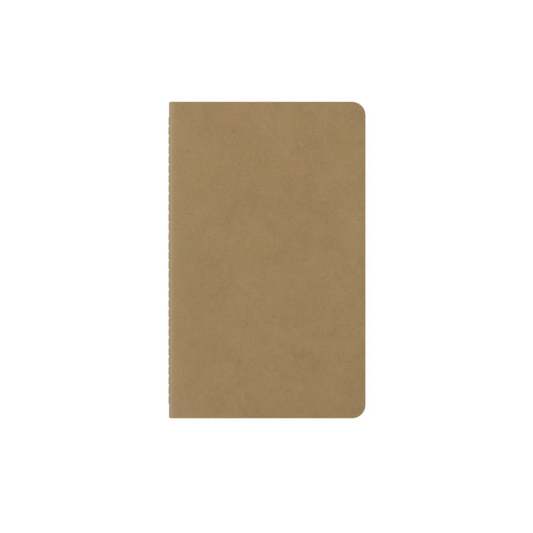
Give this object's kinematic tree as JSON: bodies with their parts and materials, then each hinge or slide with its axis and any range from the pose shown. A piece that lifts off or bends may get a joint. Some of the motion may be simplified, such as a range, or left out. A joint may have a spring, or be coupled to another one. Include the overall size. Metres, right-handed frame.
{
  "type": "pocket notebook",
  "caption": "Soft-cover pocket notebook of folded sheets in a plain kraft card cover, sewn through the fold with an exposed row of stitches on the spine and rounded fore-edge corners.",
  "frame": {"origin": "middle of the closed notebook's outline, on the outer face of the back cover", "axes": "+Y towards the head of the pages, +Z out of the front cover, -X towards the folded spine"},
  "size_m": [0.0872, 0.14, 0.004],
  "materials": {
    "kraft_card": "matte",
    "paper": "matte",
    "outer_thread": "matte",
    "inner_thread": "matte"
  },
  "bodies": {
    "spine": {"cover_spine": "kraft_card", "sheet_01_fold": "paper", "sheet_02_fold": "paper", "sheet_03_fold": "paper", "sheet_04_fold": "paper", "sheet_05_fold": "paper", "sheet_06_fold": "paper", "sheet_07_fold": "paper", "sheet_08_fold": "paper", "sheet_09_fold": "paper", "sheet_10_fold": "paper", "sheet_11_fold": "paper", "sheet_12_fold": "paper", "sheet_13_fold": "paper", "sheet_14_fold": "paper", "sheet_15_fold": "paper", "sheet_16_fold": "paper", "outer_thread": "outer_thread", "inner_thread": "inner_thread", "sheet_01_back_leaf": "paper"},
    "sheet_01_front": {"sheet_01_front_leaf": "paper"},
    "front_cover": {"front_cover": "kraft_card"},
    "back_cover": {"back_cover": "kraft_card"},
    "sheet_02_back": {"sheet_02_back_leaf": "paper"},
    "sheet_02_front": {"sheet_02_front_leaf": "paper"},
    "sheet_03_back": {"sheet_03_back_leaf": "paper"},
    "sheet_03_front": {"sheet_03_front_leaf": "paper"},
    "sheet_04_back": {"sheet_04_back_leaf": "paper"},
    "sheet_04_front": {"sheet_04_front_leaf": "paper"},
    "sheet_05_back": {"sheet_05_back_leaf": "paper"},
    "sheet_05_front": {"sheet_05_front_leaf": "paper"},
    "sheet_06_back": {"sheet_06_back_leaf": "paper"},
    "sheet_06_front": {"sheet_06_front_leaf": "paper"},
    "sheet_07_back": {"sheet_07_back_leaf": "paper"},
    "sheet_07_front": {"sheet_07_front_leaf": "paper"},
    "sheet_08_back": {"sheet_08_back_leaf": "paper"},
    "sheet_08_front": {"sheet_08_front_leaf": "paper"},
    "sheet_09_back": {"sheet_09_back_leaf": "paper"},
    "sheet_09_front": {"sheet_09_front_leaf": "paper"},
    "sheet_10_back": {"sheet_10_back_leaf": "paper"},
    "sheet_10_front": {"sheet_10_front_leaf": "paper"},
    "sheet_11_back": {"sheet_11_back_leaf": "paper"},
    "sheet_11_front": {"sheet_11_front_leaf": "paper"},
    "sheet_12_back": {"sheet_12_back_leaf": "paper"},
    "sheet_12_front": {"sheet_12_front_leaf": "paper"},
    "sheet_13_back": {"sheet_13_back_leaf": "paper"},
    "sheet_13_front": {"sheet_13_front_leaf": "paper"},
    "sheet_14_back": {"sheet_14_back_leaf": "paper"},
    "sheet_14_front": {"sheet_14_front_leaf": "paper"},
    "sheet_15_back": {"sheet_15_back_leaf": "paper"},
    "sheet_15_front": {"sheet_15_front_leaf": "paper"},
    "sheet_16_back": {"sheet_16_back_leaf": "paper"},
    "sheet_16_front": {"sheet_16_front_leaf": "paper"}
  },
  "joints": [
    {"name": "notebook_open", "type": "hinge", "parent": "spine", "child": "sheet_01_front", "pos_m": [-0.0415, 0, 0.002], "axis": [0, -1, 0], "range_deg": [0, 178], "deforming": ["cover_spine", "sheet_01_fold", "sheet_02_fold", "sheet_03_fold", "sheet_04_fold", "sheet_05_fold", "sheet_06_fold", "sheet_07_fold", "sheet_08_fold", "sheet_09_fold", "sheet_10_fold", "sheet_11_fold", "sheet_12_fold", "sheet_13_fold", "sheet_14_fold", "sheet_15_fold", "sheet_16_fold", "outer_thread", "inner_thread"]},
    {"name": "sheet_02_back_lift", "type": "hinge", "parent": "spine", "child": "sheet_02_back", "pos_m": [-0.0415, 0, 0.002], "axis": [0, -1, 0], "range_deg": [0, 0.9889]},
    {"name": "sheet_02_front_open", "type": "hinge", "parent": "sheet_02_back", "child": "sheet_02_front", "pos_m": [-0.0415, 0, 0.002], "axis": [0, -1, 0], "range_deg": [0, 176.02]},
    {"name": "sheet_03_back_lift", "type": "hinge", "parent": "spine", "child": "sheet_03_back", "pos_m": [-0.0415, 0, 0.002], "axis": [0, -1, 0], "range_deg": [0, 1.98]},
    {"name": "sheet_03_front_open", "type": "hinge", "parent": "sheet_03_back", "child": "sheet_03_front", "pos_m": [-0.0415, 0, 0.002], "axis": [0, -1, 0], "range_deg": [0, 174.04]},
    {"name": "sheet_04_back_lift", "type": "hinge", "parent": "spine", "child": "sheet_04_back", "pos_m": [-0.0415, 0, 0.002], "axis": [0, -1, 0], "range_deg": [0, 2.97]},
    {"name": "sheet_04_front_open", "type": "hinge", "parent": "sheet_04_back", "child": "sheet_04_front", "pos_m": [-0.0415, 0, 0.002], "axis": [0, -1, 0], "range_deg": [0, 172.07]},
    {"name": "sheet_05_back_lift", "type": "hinge", "parent": "spine", "child": "sheet_05_back", "pos_m": [-0.0415, 0, 0.002], "axis": [0, -1, 0], "range_deg": [0, 3.96]},
    {"name": "sheet_05_front_open", "type": "hinge", "parent": "sheet_05_back", "child": "sheet_05_front", "pos_m": [-0.0415, 0, 0.002], "axis": [0, -1, 0], "range_deg": [0, 170.09]},
    {"name": "sheet_06_back_lift", "type": "hinge", "parent": "spine", "child": "sheet_06_back", "pos_m": [-0.0415, 0, 0.002], "axis": [0, -1, 0], "range_deg": [0, 4.94]},
    {"name": "sheet_06_front_open", "type": "hinge", "parent": "sheet_06_back", "child": "sheet_06_front", "pos_m": [-0.0415, 0, 0.002], "axis": [0, -1, 0], "range_deg": [0, 168.11]},
    {"name": "sheet_07_back_lift", "type": "hinge", "parent": "spine", "child": "sheet_07_back", "pos_m": [-0.0415, 0, 0.002], "axis": [0, -1, 0], "range_deg": [0, 5.93]},
    {"name": "sheet_07_front_open", "type": "hinge", "parent": "sheet_07_back", "child": "sheet_07_front", "pos_m": [-0.0415, 0, 0.002], "axis": [0, -1, 0], "range_deg": [0, 166.13]},
    {"name": "sheet_08_back_lift", "type": "hinge", "parent": "spine", "child": "sheet_08_back", "pos_m": [-0.0415, 0, 0.002], "axis": [0, -1, 0], "range_deg": [0, 6.92]},
    {"name": "sheet_08_front_open", "type": "hinge", "parent": "sheet_08_back", "child": "sheet_08_front", "pos_m": [-0.0415, 0, 0.002], "axis": [0, -1, 0], "range_deg": [0, 164.16]},
    {"name": "sheet_09_back_lift", "type": "hinge", "parent": "spine", "child": "sheet_09_back", "pos_m": [-0.0415, 0, 0.002], "axis": [0, -1, 0], "range_deg": [0, 7.91]},
    {"name": "sheet_09_front_open", "type": "hinge", "parent": "sheet_09_back", "child": "sheet_09_front", "pos_m": [-0.0415, 0, 0.002], "axis": [0, -1, 0], "range_deg": [0, 162.18]},
    {"name": "sheet_10_back_lift", "type": "hinge", "parent": "spine", "child": "sheet_10_back", "pos_m": [-0.0415, 0, 0.002], "axis": [0, -1, 0], "range_deg": [0, 8.9]},
    {"name": "sheet_10_front_open", "type": "hinge", "parent": "sheet_10_back", "child": "sheet_10_front", "pos_m": [-0.0415, 0, 0.002], "axis": [0, -1, 0], "range_deg": [0, 160.2]},
    {"name": "sheet_11_back_lift", "type": "hinge", "parent": "spine", "child": "sheet_11_back", "pos_m": [-0.0415, 0, 0.002], "axis": [0, -1, 0], "range_deg": [0, 9.89]},
    {"name": "sheet_11_front_open", "type": "hinge", "parent": "sheet_11_back", "child": "sheet_11_front", "pos_m": [-0.0415, 0, 0.002], "axis": [0, -1, 0], "range_deg": [0, 158.22]},
    {"name": "sheet_12_back_lift", "type": "hinge", "parent": "spine", "child": "sheet_12_back", "pos_m": [-0.0415, 0, 0.002], "axis": [0, -1, 0], "range_deg": [0, 10.88]},
    {"name": "sheet_12_front_open", "type": "hinge", "parent": "sheet_12_back", "child": "sheet_12_front", "pos_m": [-0.0415, 0, 0.002], "axis": [0, -1, 0], "range_deg": [0, 156.24]},
    {"name": "sheet_13_back_lift", "type": "hinge", "parent": "spine", "child": "sheet_13_back", "pos_m": [-0.0415, 0, 0.002], "axis": [0, -1, 0], "range_deg": [0, 11.87]},
    {"name": "sheet_13_front_open", "type": "hinge", "parent": "sheet_13_back", "child": "sheet_13_front", "pos_m": [-0.0415, 0, 0.002], "axis": [0, -1, 0], "range_deg": [0, 154.27]},
    {"name": "sheet_14_back_lift", "type": "hinge", "parent": "spine", "child": "sheet_14_back", "pos_m": [-0.0415, 0, 0.002], "axis": [0, -1, 0], "range_deg": [0, 12.86]},
    {"name": "sheet_14_front_open", "type": "hinge", "parent": "sheet_14_back", "child": "sheet_14_front", "pos_m": [-0.0415, 0, 0.002], "axis": [0, -1, 0], "range_deg": [0, 152.29]},
    {"name": "sheet_15_back_lift", "type": "hinge", "parent": "spine", "child": "sheet_15_back", "pos_m": [-0.0415, 0, 0.002], "axis": [0, -1, 0], "range_deg": [0, 13.84]},
    {"name": "sheet_15_front_open", "type": "hinge", "parent": "sheet_15_back", "child": "sheet_15_front", "pos_m": [-0.0415, 0, 0.002], "axis": [0, -1, 0], "range_deg": [0, 150.31]},
    {"name": "sheet_16_back_lift", "type": "hinge", "parent": "spine", "child": "sheet_16_back", "pos_m": [-0.0415, 0, 0.002], "axis": [0, -1, 0], "range_deg": [0, 14.83]},
    {"name": "sheet_16_front_open", "type": "hinge", "parent": "sheet_16_back", "child": "sheet_16_front", "pos_m": [-0.0415, 0, 0.002], "axis": [0, -1, 0], "range_deg": [0, 148.33]},
    {"name": "front_cover_open", "type": "hinge", "parent": "sheet_01_front", "child": "front_cover", "pos_m": [-0.0415, 0, 0.00401], "axis": [0, -1, 0], "range_deg": [0, 182]},
    {"name": "back_cover_open", "type": "hinge", "parent": "spine", "child": "back_cover", "pos_m": [-0.0415, 0, -0.00001], "axis": [0, 1, 0], "range_deg": [0, 180]}
  ],
  "couplings": [
    {"joint": "sheet_02_back_lift", "follows": "notebook_open", "ratio": 0.005555},
    {"joint": "sheet_02_front_open", "follows": "notebook_open", "ratio": 0.98889},
    {"joint": "sheet_03_back_lift", "follows": "notebook_open", "ratio": 0.011111},
    {"joint": "sheet_03_front_open", "follows": "notebook_open", "ratio": 0.97778},
    {"joint": "sheet_04_back_lift", "follows": "notebook_open", "ratio": 0.016666},
    {"joint": "sheet_04_front_open", "follows": "notebook_open", "ratio": 0.96667},
    {"joint": "sheet_05_back_lift", "follows": "notebook_open", "ratio": 0.022222},
    {"joint": "sheet_05_front_open", "follows": "notebook_open", "ratio": 0.95556},
    {"joint": "sheet_06_back_lift", "follows": "notebook_open", "ratio": 0.027777},
    {"joint": "sheet_06_front_open", "follows": "notebook_open", "ratio": 0.94444},
    {"joint": "sheet_07_back_lift", "follows": "notebook_open", "ratio": 0.033333},
    {"joint": "sheet_07_front_open", "follows": "notebook_open", "ratio": 0.93333},
    {"joint": "sheet_08_back_lift", "follows": "notebook_open", "ratio": 0.038888},
    {"joint": "sheet_08_front_open", "follows": "notebook_open", "ratio": 0.92222},
    {"joint": "sheet_09_back_lift", "follows": "notebook_open", "ratio": 0.044444},
    {"joint": "sheet_09_front_open", "follows": "notebook_open", "ratio": 0.91111},
    {"joint": "sheet_10_back_lift", "follows": "notebook_open", "ratio": 0.05},
    {"joint": "sheet_10_front_open", "follows": "notebook_open", "ratio": 0.9},
    {"joint": "sheet_11_back_lift", "follows": "notebook_open", "ratio": 0.055555},
    {"joint": "sheet_11_front_open", "follows": "notebook_open", "ratio": 0.88889},
    {"joint": "sheet_12_back_lift", "follows": "notebook_open", "ratio": 0.061111},
    {"joint": "sheet_12_front_open", "follows": "notebook_open", "ratio": 0.87778},
    {"joint": "sheet_13_back_lift", "follows": "notebook_open", "ratio": 0.066666},
    {"joint": "sheet_13_front_open", "follows": "notebook_open", "ratio": 0.86667},
    {"joint": "sheet_14_back_lift", "follows": "notebook_open", "ratio": 0.072222},
    {"joint": "sheet_14_front_open", "follows": "notebook_open", "ratio": 0.85555},
    {"joint": "sheet_15_back_lift", "follows": "notebook_open", "ratio": 0.077777},
    {"joint": "sheet_15_front_open", "follows": "notebook_open", "ratio": 0.84444},
    {"joint": "sheet_16_back_lift", "follows": "notebook_open", "ratio": 0.083333},
    {"joint": "sheet_16_front_open", "follows": "notebook_open", "ratio": 0.83333}
  ]
}
